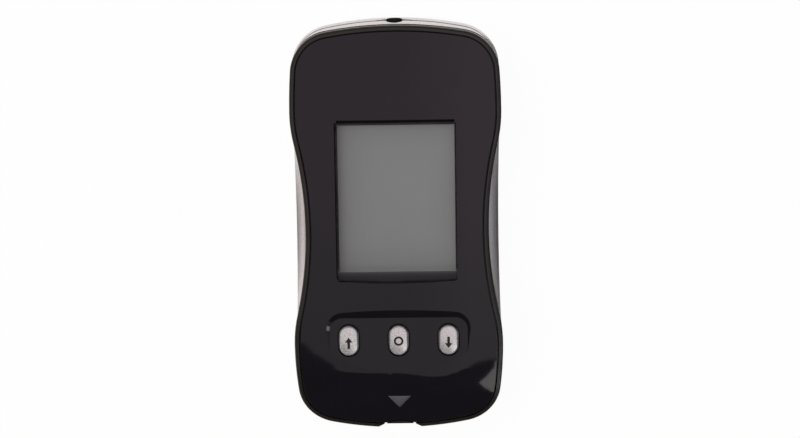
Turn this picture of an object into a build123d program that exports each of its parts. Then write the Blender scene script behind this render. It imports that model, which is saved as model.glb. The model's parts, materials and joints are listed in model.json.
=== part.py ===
from build123d import *
from math import asin, cos, degrees, radians, sin, sqrt
import os

# Blood glucose meter, in millimetres.
# X runs across the meter, +Y points to its data-port end and +Z comes out of
# the display. The back lies on z = 0 and the origin is under the middle.

os.makedirs("parts", exist_ok=True)

# ---------------------------------------------------------------- overall size
length = 93.5  # from the silver top end to the bezel's bottom end
width = 47.2  # across the lobes of the bezel
front_rise = 7.8  # from the parting line to the crest of the crowned front
fit_gap = 0.1  # between moulded parts that are assembled
seat_gap = 0.05  # between a part and the seat that carries it
overcut = 1.0  # how far a cutting form runs past what it cuts

# ------------------------------------------------- stack from the back to the board
cover_thick = 1.3
cell_float = 0.15  # above the battery cover
cell_d = 20.0
cell_thick = 3.2
contact_room = 0.3  # above the cells
bay_roof_thick = 0.95
board_thick = 1.0
parting_rise = 0.2  # the halves meet this far above the board

cell_z = cover_thick + cell_float
cell_top_z = cell_z + cell_thick
bay_ceiling_z = cell_top_z + contact_room
bay_roof_z = bay_ceiling_z + bay_roof_thick
board_z = bay_roof_z + fit_gap
board_top_z = board_z + board_thick
parting_z = board_top_z + parting_rise
thickness = parting_z + front_rise  # 15.0 from the back to the crest

# --------------------------------------------------------------------- outlines
lobe_y = 26.5  # the widest places, above and below the waist

bezel_waist_in = 3.1  # how far each side draws in at the waist
bezel_lobe_r = 30.0
bezel_shoulder_r = (130.0, 85.0)  # above the upper lobe, below the lower lobe
bezel_end_r = (87.0, 76.0)  # arcs that close the top and the bottom end
bezel_corner_r = 9.4
bezel_setback = 1.05  # silver left standing beyond the bezel at the top end

case_waist_in = 0.5
case_lobe_inset = 0.2  # the silver case hides under the bezel at the lobes
case_bottom_inset = 0.35
case_lobe_r = 100.0
case_shoulder_r = (400.0, 85.0)
case_end_r = (78.0, 76.0)
case_corner_r = 9.6

# ---------------------------------------------------------- crowned front face
crest_y = 5.0
crown_end_drop = 2.97  # the long crown falls this far from its crest to the bottom end
crown_cross_r = 330.0  # radius across the meter
chin_len = 14.65  # the last stretch, which bends down to the strip port
chin_r = 45.0
crown_margin = 4.0  # how far the crown runs past the ends
crown_floor = 2.0  # lowest side of the crowned block
chin_y = chin_len - length / 2
crown_span = crest_y + length / 2
crown_long_r = (crown_span**2 + crown_end_drop**2) / (2 * crown_end_drop)

# -------------------------------------------------------------------- silver case
case_wall = 1.6
floor = 1.5
back_edge_r = 5.0
rear_round_r = 5.0  # rounds the rear half in towards the parting line
parting_in = 0.45  # the parting line lies this far inside the case's widest place
front_edge_r = 4.5
seam = 0.15  # bevel of the front half along the parting line
front_case_drop = 2.4  # the case's front edge lies this far under the crest
ledge_rise = 0.9  # the bezel stands on a ledge this far above the parting line
lip_wall = 0.7  # the lip of the front half stands inside the rear half
lip_depth = 0.8
board_margin = 0.35  # between the board's edge and the lip
front_case_top = thickness - front_case_drop
bezel_ledge_z = parting_z + ledge_rise
lip_outer = case_wall + seat_gap
lip_inner = lip_outer + lip_wall
widest_z = parting_z - sqrt(rear_round_r**2 - (rear_round_r - parting_in) ** 2)

# ----------------------------------------------------------- bezel, deck and panel
band = 0.95  # width of the bezel band round the panel
groove = 0.26  # open groove between the band and the panel
band_edge_r = 0.7
panel_thick = 1.6
panel_edge_r = 0.22
deck_thick = 1.6
skirt = 1.7  # width of the bezel's skirt under the band

# ----------------------------------------------------------------------- window
window_w = 26.9
window_h = 36.0
window_y = 6.35
window_bow = 0.5  # the panel's opening bows out below the window
window_r = 0.6
lens_drop = 0.85  # the window's face under the crest
lens_thick = 1.55
lens_flange = 1.55
lens_flange_thick = 0.7
lens_gap = 0.06
lens_edge = 0.15
deck_ledge = 0.55  # from the window's edge to the deck's opening
sight_side = 0.35  # the gasket covers this much of the window at each side
sight_top = 1.0  # this much at its top edge
sight_bottom = 1.55  # and this much at its bottom edge
lens_top_z = thickness - lens_drop
lens_seat_z = lens_top_z - lens_thick
deck_window_w = window_w + 2 * deck_ledge
deck_window_h = window_h + 2 * deck_ledge
sight_w = window_w - 2 * sight_side
sight_h = window_h - sight_top - sight_bottom
sight_y = window_y + (sight_bottom - sight_top) / 2

# ---------------------------------------------------------------------- display
glass_margin = 1.5  # beyond the window on every side
glass_thick = 2.2
polariser = 0.2
polariser_lap = 0.2  # beyond the deck's window, on every side
gasket_thick = 0.4
pocket_roof = 0.85  # deck left between the window's seat and the display
holder_wall = 1.1
holder_corner_r = 0.8
holder_side = 2.0  # ledge under the glass at each side
holder_rib = 0.9  # between the reflector and each zebra strip
zebra_w = 24.0
zebra_depth = 1.8
glass_w = window_w + 2 * glass_margin
glass_h = window_h + 2 * glass_margin
display_pocket_z = lens_seat_z - pocket_roof
polariser_top_z = display_pocket_z - seat_gap - gasket_thick
glass_top_z = polariser_top_z - polariser
glass_z = glass_top_z - glass_thick
reflector_w = glass_w - 2 * holder_side
reflector_h = glass_h - 2 * (zebra_depth + holder_rib)

# --------------------------------------------------------------------- push buttons
button_names = ("up", "select", "down")
button_pitch = 11.27
button_rise = 21.33  # from the bottom end to the middle of the buttons
button_w = 4.06
button_h = 6.7
button_gap = 0.22
button_proud = 1.05  # above the floor of the recess
button_dome_r = 12.0
button_edge_r = 0.45
flange_margin = 0.7
flange_thick = 0.7
flange_gap = 0.1  # under the deck
flange_drop = 4.25  # from the crest to the deck over the flanges
stem_r = 1.3
stem_gap = 0.65  # from the switch to the button's stem
switch_size = 4.6
switch_height = 1.6
plunger_r = 0.9
plunger_gap = 0.12
plunger_depth = 0.35
switch_well = 0.8
recess_drop = 1.6  # the floor of the recess under the crest
recess_side = 2.3  # from the outer buttons to the foot of the slope
recess_above = 1.8
recess_below = 6.05
recess_corner_r = 2.8
recess_slope = 63.0
recess_height = 1.4
button_y = button_rise - length / 2
recess_floor_z = thickness - recess_drop
button_top_z = recess_floor_z + button_proud
flange_roof_z = thickness - flange_drop
flange_top_z = flange_roof_z - flange_gap
flange_z = flange_top_z - flange_thick
switch_top_z = board_top_z + switch_height
stem_bottom_z = switch_top_z + stem_gap
recess_w = 2 * (button_pitch + button_w / 2 + recess_side)
recess_top_y = button_y + button_h / 2 + recess_above
recess_bottom_y = button_y - button_h / 2 - recess_below

# ----------------------------------------------------------------------- strip port
notch_outer_w = 10.7
notch_inner_w = 6.86
notch_depth = 1.1
notch_below = 2.05  # from the middle of the slot down to the notch's floor
lip_r = 6.5
lip_rise = 2.1  # the panel's edge arches over the notch by this much
slot_w = 7.2
slot_h = 0.9
slot_rise = 0.65  # the middle of the slot over the board
port_side = 1.6  # the port's body beyond each end of the slot
port_wall = 0.45  # above and below the slot
port_len = 3.0
port_flare = 0.4
connector_side = 1.9
connector_len = 9.4
connector_h = 2.1
slot_len = 7.6
contact_count = 8
contact_pitch = 0.8
contact_w = 0.36
contact_t = 0.2
contact_back = 0.6  # the contacts' legs stand behind the connector
slot_z = board_top_z + slot_rise
notch_floor_z = slot_z - notch_below
port_w = slot_w + 2 * port_side
port_h = slot_h + 2 * port_wall
connector_w = slot_w + 2 * connector_side

# ------------------------------------------------------------------------ data port
jack_bore_r = 1.25  # takes a 2.5 mm plug
jack_bore_len = 10.6
jack_nose_r = 2.0
jack_nose_len = 0.6  # the jack's nose stands in the case's hole
jack_hole_gap = 0.1  # round the nose
jack_eye_w = 8.2  # the nose's wings fill an eye-shaped slit along the parting line
jack_eye_h = 1.7
jack_eye_len = 0.5
jack_lift = 0.35  # over the battery bay's ceiling
jack_w = 6.2
jack_h = 4.6
jack_len = 11.4
jack_gap = 0.2
jack_edge_r = 0.5
terminal_size = (0.9, 0.8, 0.15)
jack_hole_r = jack_nose_r + jack_hole_gap
jack_z = bay_ceiling_z + jack_lift + jack_h / 2

# ------------------------------------------------------------------------ batteries
cell_gap = 0.4
cell_edge_r = 0.4
cell_cap_d = 17.2
cell_cap_h = 0.35
bay_end_in = 3.25  # from the top end to the outside of the bay's end wall
bay_wall = 1.2
bay_side = 4.3
bay_corner_r = 2.0
spring_w = 3.0
spring_t = 0.15
spring_reach = 4.0
spring_gap = 0.02
spring_foot_rise = 1.15  # the contacts' feet over the cells' lower faces
contact_slot_w = 0.7
contact_slot_side = 0.25
bay_half = cell_d / 2 + cell_gap
bay_end_y = length / 2 - bay_end_in
bay_top_y = bay_end_y - bay_wall
bay_y = bay_top_y - cell_d - 1.5 * cell_gap  # middle of the two cells
bay_bottom_y = bay_y - cell_d - 1.5 * cell_gap
cell_ys = (bay_y - (cell_d + cell_gap) / 2, bay_y + (cell_d + cell_gap) / 2)
spring_foot_z = cell_z + spring_foot_rise
spring_top_z = bay_ceiling_z - spring_gap

# -------------------------------------------------------------------- battery cover
cover_side = 2.0  # the cover is this much wider than the bay at each side
cover_dovetail = 1.0  # the sides widen by this much towards the inside
cover_lap = 2.6  # the cover runs this far past the bay's lower end
cover_end_in = 0.4  # the upturned end is this much narrower at each side
cover_end_z = 4.4
cover_gap = 0.12
tuck_w = 16.0
tuck_len = 1.2
tuck_thick = 0.55
grip_count = 5
grip_pitch = 1.6
grip_w = 0.7
grip_len = 12.0
grip_depth = 0.3
grip_in = 15.65  # from the top end to the middle of the grip
cover_w = 2 * (bay_half + cover_side)
cover_end_w = cover_w - 2 * cover_end_in
cover_start_y = bay_bottom_y - cover_lap

# ------------------------------------------------------------- parts on the board
mcu_size = (10.0, 10.0, 1.4)
mcu_at = (0.0, 10.0)
memory_size = (5.0, 4.0, 1.1)
memory_at = (-8.0, -3.0)
crystal_size = (7.0, 2.4, 1.9)
crystal_at = (-11.0, -14.0)
buzzer_r = 6.0
buzzer_h = 3.2
buzzer_at = (8.5, -20.0)
buzzer_vent_r = 1.0
passive_size = (1.6, 0.8, 0.7)
passive_pitch = (2.6, 2.2)
passive_count = (4, 3)
passives_at = (-9.0, -26.0)

# ---------------------------------------------------------------------------- screws
screw_x = 16.3
screw_in = (12.65, 12.15)  # from the top end and from the bottom end
screw_r = 0.95
screw_hole_gap = 0.15
screw_head_r = 1.8
screw_head_h = 1.1
screw_head_gap = 0.2
screw_head_z = 1.2
screw_bite = 2.2  # how far the screws reach past the board
screw_gap = 0.05
screw_cross_w = 2.0
screw_cross_t = 0.5
screw_cross_depth = 0.7
boss_r = 2.5
front_boss_r = 2.1
screw_end_z = board_top_z + screw_bite
screw_spots = [
    (x, y)
    for y in (length / 2 - screw_in[0], screw_in[1] - length / 2)
    for x in (-screw_x, screw_x)
]


# ------------------------------------------------------------------- shared shapes
def waisted_face(lobe, waist_in, lobe_r, shoulder_r, end_r, corner_r, top_y, bottom_y):
    """Outline with two lobes and a waist, closed by an arc at each end."""
    centre_distance = (waist_in**2 + lobe_y**2) / (2 * waist_in)
    end_turn = [
        degrees(asin((end_y + overcut - lobe_y) / r))
        for end_y, r in zip((top_y, -bottom_y), shoulder_r)
    ]
    waist_r = centre_distance - lobe_r
    turn = degrees(asin(lobe_y / centre_distance))
    with BuildSketch() as sk:
        with BuildLine():
            upper = JernArc((lobe, lobe_y), (0, 1), shoulder_r[0], end_turn[0])
            lobe_up = JernArc((lobe, lobe_y), (0, -1), lobe_r, -turn)
            waist_arc = JernArc(lobe_up @ 1, lobe_up % 1, waist_r, 2 * turn)
            lobe_down = JernArc(waist_arc @ 1, waist_arc % 1, lobe_r, -turn)
            lower = JernArc(lobe_down @ 1, lobe_down % 1, shoulder_r[1], -end_turn[1])
            Line(upper @ 1, (0, (upper @ 1).Y))
            Line(lower @ 1, (0, (lower @ 1).Y))
            mirror(about=Plane.YZ)
        make_face()
        with Locations((0, top_y - end_r[0])):
            Circle(end_r[0], mode=Mode.INTERSECT)
        with Locations((0, bottom_y + end_r[1])):
            Circle(end_r[1], mode=Mode.INTERSECT)
        rows = sk.vertices().group_by(Axis.Y)
        fillet(rows[0] + rows[-1], radius=corner_r)
    return sk.sketch


def bezel_outline(inset=0.0):
    """Outline of the black bezel, moved inwards by inset."""
    return waisted_face(
        width / 2 - inset,
        bezel_waist_in,
        bezel_lobe_r - inset,
        [r - inset for r in bezel_shoulder_r],
        [r - inset for r in bezel_end_r],
        bezel_corner_r - inset,
        length / 2 - bezel_setback - inset,
        -length / 2 + inset,
    )


def case_outline(inset=0.0):
    """Outline of the silver case, moved inwards by inset."""
    return waisted_face(
        width / 2 - case_lobe_inset - inset,
        case_waist_in,
        case_lobe_r - inset,
        [r - inset for r in case_shoulder_r],
        [r - inset for r in case_end_r],
        case_corner_r - inset,
        length / 2 - inset,
        -length / 2 + case_bottom_inset + inset,
    )


def prism(face, bottom_z, top_z):
    """A straight-sided block under an outline."""
    with BuildPart() as block:
        with BuildSketch(Plane.XY.offset(bottom_z)):
            add(face)
        extrude(amount=top_z - bottom_z)
    return block.part


def slab(size_x, size_y, size_z, x=0.0, y=0.0, bottom_z=0.0):
    """A box that stands on bottom_z."""
    box = Box(size_x, size_y, size_z, mode=Mode.PRIVATE)
    return Pos(x, y, bottom_z + size_z / 2) * box


def tub(inset, bottom_z, top_z, edge_r):
    """The rear half's round-bottomed form, moved inwards by inset."""
    face = case_outline(inset)
    with BuildPart() as form:
        with BuildSketch(Plane.XY.offset(bottom_z)):
            add(face)
        extrude(amount=top_z - bottom_z)
        fillet(form.edges().group_by(Axis.Z)[0], radius=edge_r)
    return form.part


def save(part, name):
    """Label a finished piece and write it."""
    part.label = name
    export_step(part, f"parts/{name}.step")


# The block under the crowned front face: a cross arc turned about two axes that
# lie across the meter, a far one for the long crown and a near one for the chin.
crown_reach = length / 2 + crown_margin
crown_rise = degrees(asin((crown_reach - crest_y) / crown_long_r))
crown_fall = degrees(asin((crest_y - chin_y) / crown_long_r))
chin_sine = sin(radians(crown_fall)) + (crown_reach + chin_y) / chin_r
chin_turn = degrees(asin(chin_sine)) - crown_fall
crown_half = width / 2 + crown_margin
crown_side_drop = crown_cross_r - sqrt(crown_cross_r**2 - crown_half**2)
crown_depth = thickness - crown_floor
crown_axis_z = thickness - crown_long_r


def crown_segment(start_angle, turn, radius, axis_y, axis_z):
    """One stretch of the crowned block, turned about a line along X."""
    outwards = Vector(0, -sin(radians(start_angle)), cos(radians(start_angle)))
    top = Vector(0, axis_y, axis_z) + outwards * radius
    with BuildPart() as segment:
        with BuildSketch(Plane(top, x_dir=(1, 0, 0), z_dir=outwards.cross(Vector(-1, 0, 0)))):
            with BuildLine():
                ThreePointArc(
                    (-crown_half, -crown_side_drop), (0, 0), (crown_half, -crown_side_drop)
                )
                Polyline(
                    (crown_half, -crown_side_drop),
                    (crown_half, -crown_depth),
                    (-crown_half, -crown_depth),
                    (-crown_half, -crown_side_drop),
                )
            make_face()
        revolve(axis=Axis((0, axis_y, axis_z), (1, 0, 0)), revolution_arc=turn)
    return segment.part


chin_axis_y = chin_y + chin_r * sin(radians(crown_fall))
chin_axis_z = crown_axis_z + (crown_long_r - chin_r) * cos(radians(crown_fall))
crown_block = crown_segment(
    -crown_rise, crown_rise + crown_fall, crown_long_r, crest_y, crown_axis_z
) + crown_segment(crown_fall, chin_turn, chin_r, chin_axis_y, chin_axis_z)


def under_crown(drop):
    """The crown block, lowered."""
    return Pos(0, 0, -drop) * crown_block


def crown_shell(face, drop):
    """What stands above the lowered crown, inside an outline."""
    return prism(face, 0, thickness + overcut) - under_crown(drop)


def stadium(grow, bottom_z, top_z, x):
    """Upright push-button section, grown by a margin."""
    with BuildPart() as block:
        with BuildSketch(Plane.XY.offset(bottom_z)):
            with Locations((x, button_y)):
                SlotOverall(button_h + 2 * grow, button_w + 2 * grow, rotation=90)
        extrude(amount=top_z - bottom_z)
    return block.part


button_x = (-button_pitch, 0.0, button_pitch)
deck_drop = panel_thick + seat_gap  # the deck's upper face under the crown
deck_bottom_drop = deck_drop + deck_thick
jack_face_y = length / 2 - case_wall - fit_gap
notch_y = -length / 2 + notch_depth
port_face_y = notch_y + seat_gap
port_back_y = port_face_y + port_len
connector_y = port_back_y + fit_gap + connector_len / 2



def jack_eye(gap):
    """Eye-shaped outline round the jack, seen from the end and grown by a gap."""
    half = jack_eye_w / 2 + 2 * gap
    rise = jack_eye_h / 2 + gap
    with BuildSketch() as eye:
        with BuildLine():
            ThreePointArc((-half, 0), (0, rise), (half, 0))
            ThreePointArc((half, 0), (0, -rise), (-half, 0))
        make_face()
    return Plane.XZ.offset(-jack_face_y) * Pos(0, parting_z) * eye.sketch


# Room that every piece leaves for the data jack and its plug.
jack_eye_room = jack_eye(jack_hole_gap)
jack_eye_face = jack_eye(0)
with BuildPart() as jack_space_block:
    with BuildSketch(Plane.XY.offset(jack_z - jack_h / 2 - seat_gap)):
        with Locations((0, jack_face_y - jack_len / 2)):
            Rectangle(jack_w + 2 * jack_gap, jack_len + 2 * seat_gap)
    extrude(amount=jack_h + 2 * seat_gap)
    with BuildSketch(Plane.XZ.offset(-jack_face_y)):
        with Locations((0, jack_z)):
            Circle(jack_hole_r)
    extrude(amount=-2 * case_wall)
    extrude(jack_eye_room, amount=-2 * case_wall)
jack_space = jack_space_block.part

# Room for the strip port, and the guide notch in front of it.
port_space = slab(
    port_w + 2 * fit_gap,
    port_len + fit_gap + seat_gap,
    port_h + 2 * fit_gap,
    0,
    notch_y + (port_len + fit_gap + seat_gap) / 2,
    slot_z - port_h / 2 - fit_gap,
)
notch_reach = notch_outer_w / 2 + (notch_outer_w - notch_inner_w) / 2
with BuildPart() as notch_block:
    with BuildSketch(Plane.XY.offset(notch_floor_z)):
        with BuildLine():
            Polyline(
                (-notch_inner_w / 2, notch_y),
                (notch_inner_w / 2, notch_y),
                (notch_reach, notch_y - 2 * notch_depth),
                (-notch_reach, notch_y - 2 * notch_depth),
                close=True,
            )
        make_face()
    extrude(amount=thickness)
notch_space = notch_block.part

# ------------------------------------------------------------------- battery bay
with BuildPart() as rear_outside:
    add(tub(0, 0, widest_z + rear_round_r, back_edge_r))
    fillet(rear_outside.edges().group_by(Axis.Z)[-1], radius=rear_round_r)
    with BuildSketch(Plane.XY.offset(parting_z)):
        Rectangle(2 * width, 2 * length)
    extrude(amount=thickness, mode=Mode.SUBTRACT)
rear_form = rear_outside.part


def cover_blank(gap):
    """Dovetailed slide and upturned end of the battery cover, grown by a gap."""
    half = cover_w / 2 + gap
    inner_half = half + cover_dovetail
    skin = cover_thick + gap
    core = tub(skin, skin, parting_z, back_edge_r - skin)
    with BuildPart() as blank:
        with BuildSketch(Plane.XZ.offset(gap - cover_start_y)):
            with BuildLine():
                Polyline(
                    (-half, -overcut),
                    (half, -overcut),
                    (half, 0),
                    (inner_half, cover_thick + gap),
                    (-inner_half, cover_thick + gap),
                    (-half, 0),
                    close=True,
                )
            make_face()
        extrude(amount=-length)
        with BuildSketch(Plane.XY.offset(cover_thick / 2)):
            with Locations((0, bay_end_y + length / 2)):
                Rectangle(cover_end_w + 2 * gap, length)
        extrude(amount=cover_end_z + gap - cover_thick / 2)
        add(rear_form, mode=Mode.INTERSECT)
        add(core, mode=Mode.SUBTRACT)
        with BuildSketch(Plane.XY.offset(cover_thick - tuck_thick - gap)):
            with Locations((0, cover_start_y - tuck_len / 2)):
                Rectangle(tuck_w + 2 * gap, tuck_len + 2 * gap)
        extrude(amount=tuck_thick + gap)
    return blank.part


closed_cover = cover_blank(0)
with BuildPart() as battery_cover:
    add(closed_cover)
    with BuildSketch():
        with Locations((0, length / 2 - grip_in)):
            with GridLocations(0, grip_pitch, 1, grip_count):
                SlotOverall(grip_len, grip_w)
    extrude(amount=grip_depth, mode=Mode.SUBTRACT)
save(battery_cover.part, "battery_cover")

# --------------------------------------------------------------------- rear case
with BuildPart() as rear_ribs:
    with BuildSketch(Plane.XY.offset(floor / 2)):
        with Locations((0, (bay_bottom_y - bay_wall + bay_end_y) / 2)):
            Rectangle(2 * (bay_half + bay_side), bay_end_y - bay_bottom_y + bay_wall)
    extrude(amount=bay_roof_z - floor / 2)
    with BuildSketch(Plane.XY.offset(floor / 2)):
        with Locations(*screw_spots):
            Circle(boss_r)
    extrude(amount=board_z - floor / 2)
    add(rear_form, mode=Mode.INTERSECT)

rear_hollow = tub(case_wall, floor, parting_z + overcut, back_edge_r - floor)
cover_space = cover_blank(cover_gap)
contact_slot = (contact_slot_w, spring_w + 2 * contact_slot_side, board_z - spring_foot_z)
contact_slots = [
    slab(*contact_slot, x, y, spring_foot_z)
    for y in cell_ys
    for x in (bay_half - fit_gap, -spring_reach)
]
with BuildPart() as rear_case:
    add(rear_form)
    add(rear_hollow, mode=Mode.SUBTRACT)
    add(rear_ribs.part)
    with BuildSketch(Plane.XY.offset(floor / 2)):
        with Locations((0, bay_y)):
            RectangleRounded(2 * bay_half, bay_top_y - bay_bottom_y, bay_corner_r)
    extrude(amount=bay_ceiling_z - floor / 2, mode=Mode.SUBTRACT)
    add(cover_space, mode=Mode.SUBTRACT)
    with BuildSketch():
        with Locations(*screw_spots):
            Circle(screw_head_r + screw_head_gap)
    extrude(amount=screw_head_z + screw_head_h, mode=Mode.SUBTRACT)
    with BuildSketch():
        with Locations(*screw_spots):
            Circle(screw_r + screw_hole_gap)
    extrude(amount=board_z, mode=Mode.SUBTRACT)
    add(jack_space, mode=Mode.SUBTRACT)
    add(port_space, mode=Mode.SUBTRACT)
    add(notch_space, mode=Mode.SUBTRACT)
    add(contact_slots, mode=Mode.SUBTRACT)
save(rear_case.part, "rear_case")

# -------------------------------------------------------------------- front case
lip_block = prism(case_outline(lip_outer), parting_z - lip_depth, parting_z)
ring_hollow = prism(case_outline(lip_inner), 0, bezel_ledge_z)
bezel_recess = prism(bezel_outline(-fit_gap), bezel_ledge_z, thickness)
front_form = prism(case_outline(parting_in), parting_z, front_case_top)
with BuildPart() as front_case:
    add(front_form)
    fillet(front_case.edges().group_by(Axis.Z)[-1], radius=front_edge_r)
    chamfer(front_case.edges().group_by(Axis.Z)[0], length=seam)
    add(lip_block)
    add(ring_hollow, mode=Mode.SUBTRACT)
    add(bezel_recess, mode=Mode.SUBTRACT)
    add(jack_space, mode=Mode.SUBTRACT)
    add(port_space, mode=Mode.SUBTRACT)
    add(notch_space, mode=Mode.SUBTRACT)
save(front_case.part, "front_case")

# ------------------------------------------------------------------- front bezel
lip_arch = Pos(0, notch_y - lip_r + lip_rise - notch_depth) * Circle(lip_r)
well_face = bezel_outline(band) - Pos(0, -groove) * lip_arch
panel_face = bezel_outline(band + groove) - lip_arch
holder_w = glass_w + 2 * (fit_gap + holder_wall)
holder_h = glass_h + 2 * (fit_gap + holder_wall)
upward = 0.6  # the Z of a face's normal, on every face of the crown
seam_near = 1.0


def crown_edges(part):
    """Edges round the crowned face, without the seam where the chin starts."""
    top = part.faces().filter_by(lambda f: f.normal_at().Z > upward)
    return top.edges().filter_by(
        lambda e: abs(e.center().X) > seam_near or abs(e.center().Y - chin_y) > seam_near
    )


boss_limit = under_crown(deck_drop + deck_thick / 2)
with BuildPart() as front_bosses:
    with BuildSketch(Plane.XY.offset(board_top_z + seat_gap)):
        with Locations(*screw_spots):
            Circle(front_boss_r)
    extrude(amount=thickness)
    add(boss_limit, mode=Mode.INTERSECT)

bezel_block = prism(bezel_outline(), bezel_ledge_z, thickness + overcut)
panel_well = crown_shell(well_face, deck_drop)
deck_hollow = prism(bezel_outline(skirt), 0, thickness) & under_crown(deck_bottom_drop)
button_holes = [stadium(button_gap, 0, thickness, x) for x in button_x]
flange_rooms = [
    stadium(flange_margin + 2 * button_gap, 0, flange_roof_z, x) for x in button_x
]
with BuildPart() as front_bezel:
    add(bezel_block)
    add(crown_block, mode=Mode.INTERSECT)
    fillet(crown_edges(front_bezel), radius=band_edge_r)
    add(panel_well, mode=Mode.SUBTRACT)
    add(deck_hollow, mode=Mode.SUBTRACT)
    add(front_bosses.part)
    with BuildSketch(Plane.XY.offset(lens_seat_z)):
        with Locations((0, window_y)):
            Rectangle(window_w + 2 * lens_flange, window_h + 2 * lens_flange)
    extrude(amount=thickness, mode=Mode.SUBTRACT)
    with BuildSketch():
        with Locations((0, window_y)):
            Rectangle(deck_window_w, deck_window_h)
    extrude(amount=thickness, mode=Mode.SUBTRACT)
    with BuildSketch():
        with Locations((0, window_y)):
            Rectangle(holder_w + 2 * fit_gap, holder_h + 2 * fit_gap)
    extrude(amount=display_pocket_z, mode=Mode.SUBTRACT)
    add(button_holes + flange_rooms, mode=Mode.SUBTRACT)
    with BuildSketch():
        with Locations(*screw_spots):
            Circle(screw_r + screw_gap)
    extrude(amount=screw_end_z + screw_gap, mode=Mode.SUBTRACT)
    add(jack_space, mode=Mode.SUBTRACT)
    add(port_space, mode=Mode.SUBTRACT)
    add(notch_space, mode=Mode.SUBTRACT)
    with BuildSketch():
        with Locations((0, connector_y)):
            Rectangle(connector_w + 2 * fit_gap, connector_len + 2 * fit_gap)
    extrude(amount=board_top_z + connector_h + fit_gap, mode=Mode.SUBTRACT)
save(front_bezel.part, "front_bezel")

# ------------------------------------------------------------------- front panel
with BuildPart() as recess:
    with BuildSketch(Plane.XY.offset(recess_floor_z)):
        with Locations((0, (recess_top_y + recess_bottom_y) / 2)):
            RectangleRounded(recess_w, recess_top_y - recess_bottom_y, recess_corner_r)
    extrude(amount=recess_height, taper=-recess_slope)

panel_block = prism(panel_face, bezel_ledge_z, thickness + overcut)
panel_underside = under_crown(panel_thick)
window_bottom_y = window_y - window_h / 2
bow_start = (window_r - window_w / 2, window_bottom_y)
bow_end = (window_w / 2 - window_r, window_bottom_y)
with BuildPart() as front_panel:
    add(panel_block)
    add(crown_block, mode=Mode.INTERSECT)
    fillet(crown_edges(front_panel), radius=panel_edge_r)
    add(panel_underside, mode=Mode.SUBTRACT)
    with BuildSketch(Plane.XY.offset(bezel_ledge_z)):
        with Locations((0, window_y)):
            RectangleRounded(window_w, window_h, window_r)
        with BuildLine():
            ThreePointArc(bow_start, (0, window_bottom_y - window_bow), bow_end)
            Line(bow_start, bow_end)
        make_face()
    extrude(amount=thickness, mode=Mode.SUBTRACT)
    with BuildSketch(Plane.XY.offset(bezel_ledge_z)):
        with Locations((0, window_y)):
            Rectangle(window_w + 2 * lens_flange, window_h + 2 * lens_flange)
    extrude(amount=lens_seat_z + lens_flange_thick + seat_gap - bezel_ledge_z, mode=Mode.SUBTRACT)
    add(recess.part, mode=Mode.SUBTRACT)
    add(button_holes, mode=Mode.SUBTRACT)
save(front_panel.part, "front_panel")

# ---------------------------------------------------------------- display window
with BuildPart() as display_window:
    with BuildSketch(Plane.XY.offset(lens_seat_z)):
        with Locations((0, window_y)):
            RectangleRounded(window_w - 2 * lens_gap, window_h - 2 * lens_gap, window_r)
    extrude(amount=lens_top_z - lens_seat_z)
    chamfer(display_window.edges().group_by(Axis.Z)[-1], length=lens_edge)
    with BuildSketch(Plane.XY.offset(lens_seat_z)):
        with Locations((0, window_y)):
            flange_grow = 2 * (lens_flange - fit_gap)
            Rectangle(window_w + flange_grow, window_h + flange_grow)
    extrude(amount=lens_flange_thick)
save(display_window.part, "display_window")

# ------------------------------------------------------------------------ display
save(slab(glass_w, glass_h, glass_thick, 0, window_y, glass_z), "lcd_glass")
save(
    slab(
        deck_window_w + 2 * polariser_lap,
        deck_window_h + 2 * polariser_lap,
        polariser,
        0,
        window_y,
        glass_top_z,
    ),
    "lcd_polariser",
)
save(
    slab(reflector_w, reflector_h, polariser, 0, window_y, glass_z - polariser),
    "lcd_reflector",
)

with BuildPart() as lcd_gasket:
    with BuildSketch(Plane.XY.offset(polariser_top_z)):
        with Locations((0, window_y)):
            Rectangle(glass_w, glass_h)
        with Locations((0, sight_y)):
            Rectangle(sight_w, sight_h, mode=Mode.SUBTRACT)
    extrude(amount=gasket_thick)
save(lcd_gasket.part, "lcd_gasket")

zebra_y = glass_h / 2 - zebra_depth / 2
with BuildPart() as lcd_holder:
    with BuildSketch(Plane.XY.offset(board_top_z)):
        with Locations((0, window_y)):
            RectangleRounded(holder_w, holder_h, holder_corner_r)
            Rectangle(
                reflector_w + 4 * fit_gap, reflector_h + 4 * fit_gap, mode=Mode.SUBTRACT
            )
            with Locations((0, zebra_y), (0, -zebra_y)):
                Rectangle(zebra_w + 2 * fit_gap, zebra_depth + 2 * fit_gap, mode=Mode.SUBTRACT)
    extrude(amount=glass_z - board_top_z)
    with BuildSketch(Plane.XY.offset(glass_z)):
        with Locations((0, window_y)):
            RectangleRounded(holder_w, holder_h, holder_corner_r)
            Rectangle(glass_w + 2 * fit_gap, glass_h + 2 * fit_gap, mode=Mode.SUBTRACT)
    extrude(amount=glass_thick)
save(lcd_holder.part, "lcd_holder")

for zebra_name, side in (("upper", 1), ("lower", -1)):
    strip = slab(
        zebra_w, zebra_depth, glass_z - board_top_z, 0, window_y + side * zebra_y, board_top_z
    )
    save(strip, f"zebra_strip_{zebra_name}")

# ------------------------------------------------------------------ circuit board
board_block = prism(case_outline(lip_inner + board_margin), board_z, board_top_z)
with BuildPart() as main_board:
    add(board_block)
    with BuildSketch(Plane.XY.offset(board_z)):
        with Locations(*screw_spots):
            Circle(screw_r + screw_hole_gap)
        with Locations((0, port_back_y + fit_gap - length / 4)):
            Rectangle(port_w + 4 * fit_gap, length / 2)
    extrude(amount=board_thick, mode=Mode.SUBTRACT)
    add(jack_space, mode=Mode.SUBTRACT)
save(main_board.part, "main_board")

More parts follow.
